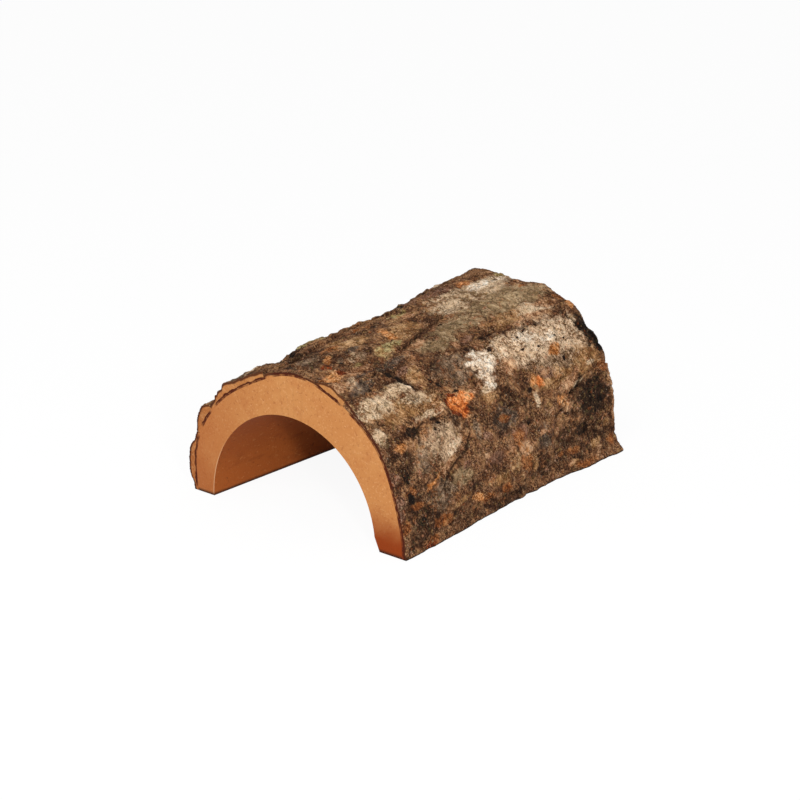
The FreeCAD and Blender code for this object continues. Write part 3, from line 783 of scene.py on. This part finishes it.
def barkFibres(tree, at, area):
    # long leaning fibres, which show in some areas only
    arc = put(tree, "Math", {0: at["degrees"], 1: perDegree}, operation="MULTIPLY")
    sheet = put(tree, "CombineXYZ", {"X": at["back"], "Y": arc})
    leaning = put(tree, "VectorRotate", {"Vector": sheet, "Angle": -math.radians(bark["fibreLean"])},
                  rotation_type="Z_AXIS")
    drawn = put(tree, "Mapping", {"Vector": leaning, "Scale": (bark["fibreStretch"], 1, 1)})
    fibre = put(tree, "TexNoise", {"Vector": drawn, "Scale": 1 / bark["fibrePitch"], "Detail": 3,
                                   "Distortion": 0.4})
    middled = put(tree, "Math", {0: fibre, 1: 0.5}, operation="SUBTRACT")
    red = put(tree, "SeparateColor", {0: area}, out="Red")
    bare = put(tree, "MapRange", {"Value": red, **bark["fibreFade"]})
    return put(tree, "Math", {0: middled, 1: bare}, operation="MULTIPLY")


def barkShade(tree, at):
    # from 0 in the darkest pits to 1 on the palest crust
    shade = bark["shadeLevel"]
    area = put(tree, "TexNoise", {"Vector": at["place"], "Scale": 1 / (bark["areaPitch"] * mm), "Detail": 3},
               out="Color")
    for pitch, detail, rough, curl, contrast in bark["shading"]:
        layer = put(tree, "TexNoise", {"Vector": at["place"], "Scale": 1 / (pitch * mm), "Detail": detail,
                                       "Roughness": rough, "Distortion": curl})
        middled = put(tree, "Math", {0: layer, 1: 0.5}, operation="SUBTRACT")
        if pitch < bark["finePitch"]:
            middled = put(tree, "Math", {0: middled, 1: busyness(tree, at, area)}, operation="MULTIPLY")
        shade = put(tree, "Math", {0: middled, 1: contrast, 2: shade}, operation="MULTIPLY_ADD")
    fibres = barkFibres(tree, at, area)
    shade = put(tree, "Math", {0: fibres, 1: bark["fibreContrast"], 2: shade}, operation="MULTIPLY_ADD")
    for name, contrast in bark["flakeContrasts"].items():
        shade = put(tree, "Math", {0: at[name], 1: contrast, 2: shade}, operation="MULTIPLY_ADD")
    return shade


def barkCrackle(tree, at):
    # a broken net of fine cracks
    pitch, width, warp = bark["crackle"]
    shift = put(tree, "TexNoise", {"Vector": at["place"], "Scale": 1 / (bark["crackleWarpPitch"] * mm),
                                   "Detail": 3}, out="Color")
    centred = put(tree, "VectorMath", {0: shift, 1: (0.5, 0.5, 0.5)}, operation="SUBTRACT")
    warped = put(tree, "VectorMath", {0: centred, 1: (warp * mm,) * 3, 2: at["place"]},
                 operation="MULTIPLY_ADD")
    edge = put(tree, "TexVoronoi", {"Vector": warped, "Scale": 1 / (pitch * mm)}, feature="DISTANCE_TO_EDGE")
    line = put(tree, "MapRange", {"Value": edge, "From Min": width, "From Max": width * bark["crackleCore"]})
    broken = put(tree, "TexNoise", {"Vector": at["place"], "Scale": 1 / (bark["crackleBreak"] * mm),
                                    "Detail": 3})
    shown = put(tree, "MapRange", {"Value": broken, **bark["crackleFade"]})
    return put(tree, "Math", {0: line, 1: shown}, operation="MULTIPLY")


def toneStops(dark, middle, pale, middlePlace):
    # three tones as the stops of a colour ramp along the shade
    return [(bark["darkPlace"], dark), (middlePlace, middle), (bark["palePlace"], pale)]


def uncovered(tree, at):
    # 1 but where a kind lies that nothing strewn covers
    covered = 0.0
    for kind in bark["bareKinds"]:
        covered = put(tree, "Math", {0: covered, 1: at[kind]}, operation="MAXIMUM")
    return put(tree, "Math", {0: 1.0, 1: covered}, operation="SUBTRACT")


def kindAmount(tree, amount, kind, share, rag, strewn, allowed):
    # how much of a kind shows: its patches, and what is strewn of it where that is allowed
    if share > 0:
        chance = put(tree, "MapRange", {"Value": strewn, **bark["strewnFade"], "To Max": share})
        chance = put(tree, "Math", {0: chance, 1: allowed}, operation="MULTIPLY")
        amount = put(tree, "Math", {0: amount, 1: chance}, operation="MAXIMUM")
    raggedness, fade = bark["clearEdge"] if kind in bark["clearKinds"] else bark["edge"]
    centred = put(tree, "Math", {0: rag, 1: 0.5}, operation="SUBTRACT")
    amount = put(tree, "Math", {0: centred, 1: raggedness, 2: amount}, operation="MULTIPLY_ADD")
    return put(tree, "MapRange", {"Value": amount, **fade}, **smoothly)


def barkColour(tree, at, shade):
    # the plain crust, with each kind over it in turn, and specks over all of them
    colour = put(tree, "ValToRGB", {"Fac": shade}, stops=toneStops(*bark["crust"]))
    ragged = put(tree, "TexNoise", {"Vector": at["place"], "Scale": 1 / (bark["edgePitch"] * mm),
                                    "Detail": 6, "Roughness": 0.75, "Distortion": 0.4}, out="Color")
    strewn = put(tree, "TexNoise", {"Vector": at["place"], "Scale": 1 / (bark["strewnPitch"] * mm),
                                    "Detail": 4, "Roughness": 0.6, "W": bark["strewnSeed"]}, out="Color",
                 noise_dimensions="4D")
    channels = ("Red", "Green", "Blue")
    ragged = [put(tree, "SeparateColor", {0: ragged}, out=channel) for channel in channels]
    strewn = [put(tree, "SeparateColor", {0: strewn}, out=channel) for channel in channels]
    allowed = uncovered(tree, at)
    for index, (kind, (*tones, relief, share)) in enumerate(bark["kinds"].items()):
        rag, here = ragged[index % 3], strewn[index % 3]
        amount = kindAmount(tree, at[kind], kind, share, rag, here, allowed)
        tone = put(tree, "ValToRGB", {"Fac": shade}, stops=toneStops(*tones))
        colour = put(tree, "Mix", {0: amount, 6: colour, 7: tone}, **colourMix)
    return flecked(tree, at["place"], colour, bark["specks"])


def sawnBark(tree, at, weathered):
    # the bark's own section: tan in places, a dark rim under its face, and painted shade of the gap over its
    # seat
    cut = flecked(tree, at["place"], sawnFace(tree, at), bark["cutLayers"])
    tan = within(tree, at["degrees"], bark["cutStretches"], bark["cutStretchFade"])
    cut = put(tree, "Mix", {0: tan, 6: weathered, 7: cut}, **colourMix)
    rim = put(tree, "MapRange", {"Value": at["skinDepth"], **bark["cutRimFade"]})
    cut = put(tree, "Mix", {0: rim, 6: cut, 7: linear(bark["cutRim"])}, **colourMix)
    # painted shade of the gap: the innermost part of the section, near its seat, in the inner bark's dark
    waver = put(tree, "TexNoise", {"Vector": at["place"], "Scale": 1 / (bark["gapPitch"] * mm), "Detail": 3})
    reach = put(tree, "MapRange", {"Value": waver, **bark["gapReach"]})
    lift = put(tree, "Math", {0: reach, 1: at["overSeat"]}, operation="SUBTRACT")
    gap = put(tree, "MapRange", {"Value": lift, **bark["paintedGapShadeFade"]})
    lifted = within(tree, at["degrees"], innerBark["lines"], bark["gapBorder"])
    gap = put(tree, "Math", {0: gap, 1: lifted}, operation="MULTIPLY")
    return put(tree, "Mix", {0: gap, 6: cut, 7: linear(innerBark["dark"])}, **colourMix)


def weatheredBark():
    # Old fruit tree bark: broken crust that runs from black pits to pale tan, with lichen, worn
    # orange places and dark hollows. Where the saw cut it, it is tan like the wood. Painted shade marks
    # the gap over its seat at the sawn ends, and a painted contact shadow runs along the floor.
    material, tree = newMaterial("weatheredFruitBark")
    at = logPlace(tree)
    for name in (*bark["kinds"], "groove", "flake", "flakeGap", "skinDepth", "overSeat"):
        at[name] = put(tree, "Attribute", out="Fac", attribute_name=name)
    shade = barkShade(tree, at)
    colour = barkColour(tree, at, shade)
    groove = put(tree, "Math", {0: at["groove"], 1: bark["grooveShare"]}, operation="MULTIPLY")
    for amount in (barkCrackle(tree, at), groove):
        colour = put(tree, "Mix", {0: amount, 6: colour, 7: linear(bark["groove"])}, **colourMix)
    depth = bark["cutDepth"]
    ends = [(-1, depth), (logLength - depth, logLength + 1)]
    isCut = within(tree, at["back"], ends, bark["cutBorder"])
    cut = sawnBark(tree, at, colour)
    colour = put(tree, "Mix", {0: isCut, 6: colour, 7: cut}, **colourMix)
    # painted contact shadow: the bark darkens to the groove colour just above the floor
    low = put(tree, "MapRange", {"Value": at["height"], **bark["paintedFloorShadowFade"]})
    colour = put(tree, "Mix", {0: low, 6: colour, 7: linear(bark["groove"])}, **colourMix)
    grain = put(tree, "TexNoise", {"Vector": at["place"], "Scale": 1 / (bark["grainPitch"] * mm),
                                   "Detail": 4, "Roughness": 0.7})
    relief = put(tree, "Math", {0: shade, 1: grain}, operation="ADD")
    mattSurface(tree, colour, relief, bark)
    return material


def dressBark():
    material = weatheredBark()
    tree = seatTree()
    for node in barkNodes:
        piece = copyOf(node, "weathered_" + node)
        voxel = bark["voxel"] * 1
        mergedAndRemeshed(piece, voxel)
        weather(piece, tree)
        only(piece)
        bpy.ops.object.shade_smooth()
        piece.data.materials.clear()
        piece.data.materials.append(material)
        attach(piece, "root")
        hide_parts(node)
        print("bark", node, len(piece.data.polygons))


def dressWood():
    for node, material in (("wood_shell", sawnWood()), ("inner_bark", fibrousInnerBark())):
        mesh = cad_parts[node].data
        mesh.materials.clear()
        mesh.materials.append(material)
    print("wood and inner bark")


# Light, floor and camera

stage = {
    "lens": 81.0, "cameraAt": (621.6, -651.7, 379.1), "turn": 40.06, "lookDown": 18.95,
    "sensor": 36.0, "clipStart": 0.01,
    "floorSize": 6.0, "floorHeight": -0.2 * mm, "paper": "#F2F2F2", "glow": 1.03,
    "shadowShare": 0.9, "skyLevel": 0.5,
    # lamps: place in metres, size in metres and power in watts
    "lamps": {"softKey": ((0.35, -1.15, 1.1), 0.8, 10.0), "lowKey": ((1.16, -0.9, 0.53), 0.12, 8.0)},
}


def seenDirectly(tree):
    # 1 where the camera sees a surface itself or in metal or glass
    seen = 0.0
    for ray in ("Glossy", "Transmission", "Camera"):
        isRay = put(tree, "LightPath", out="Is " + ray + " Ray")
        seen = put(tree, "Math", {0: seen, 1: isRay}, operation="MAXIMUM")
    return seen


def buildStage():
    bpy.ops.object.select_all(action="DESELECT")
    bpy.ops.mesh.primitive_plane_add(size=stage["floorSize"], location=(0, 0, stage["floorHeight"]))
    floor = bpy.context.object
    floor.name = "floor"
    bpy.ops.object.transform_apply(location=True)
    material, tree = newMaterial("whitePaperSweep")
    share = put(tree, "Math", {0: seenDirectly(tree), 1: stage["shadowShare"]}, operation="MULTIPLY")
    paper = put(tree, "BsdfDiffuse", {"Color": linear(stage["paper"])})
    glow = put(tree, "Emission", {"Color": (1, 1, 1, 1), "Strength": stage["glow"]})
    mix = put(tree, "MixShader", {0: share, 1: paper, 2: glow})
    put(tree, "OutputMaterial", {"Surface": mix})
    floor.data.materials.append(material)


def buildWorld():
    world = bpy.data.worlds.new("studio")
    bpy.context.scene.world = world
    world.use_nodes = True
    tree = world.node_tree
    tree.nodes.clear()
    level = put(tree, "MapRange", {"Value": seenDirectly(tree), "To Min": stage["skyLevel"], "To Max": 1.0})
    sky = put(tree, "Background", {"Color": (1, 1, 1, 1), "Strength": level})
    put(tree, "OutputWorld", {"Surface": sky})


def buildLamps():
    for name, (place, size, power) in stage["lamps"].items():
        bpy.ops.object.light_add(type="AREA", location=place)
        lamp = bpy.context.object
        lamp.name = name
        lamp.data.size = size
        lamp.data.energy = power
        lamp.rotation_euler = (-Vector(place)).to_track_quat("-Z", "Y").to_euler()


def buildCamera():
    turn = math.radians(stage["turn"])
    down = math.radians(stage["lookDown"])
    ahead = Vector((-math.sin(turn) * math.cos(down), math.cos(turn) * math.cos(down), -math.sin(down)))
    right, forward, up = [value * mm for value in stage["cameraAt"]]  # from the sawn end's middle
    bpy.ops.object.camera_add(location=(centreX + right, frontY + forward, up))
    camera = bpy.context.object
    camera.rotation_euler = ahead.to_track_quat("-Z", "Y").to_euler()
    camera.data.lens = stage["lens"]
    camera.data.sensor_width = stage["sensor"]
    camera.data.clip_start = stage["clipStart"]
    bpy.context.scene.camera = camera


dressWood()
dressBark()
buildStage()
buildWorld()
buildLamps()
buildCamera()
bpy.context.scene.view_settings.view_transform = "Standard"
print("finished")
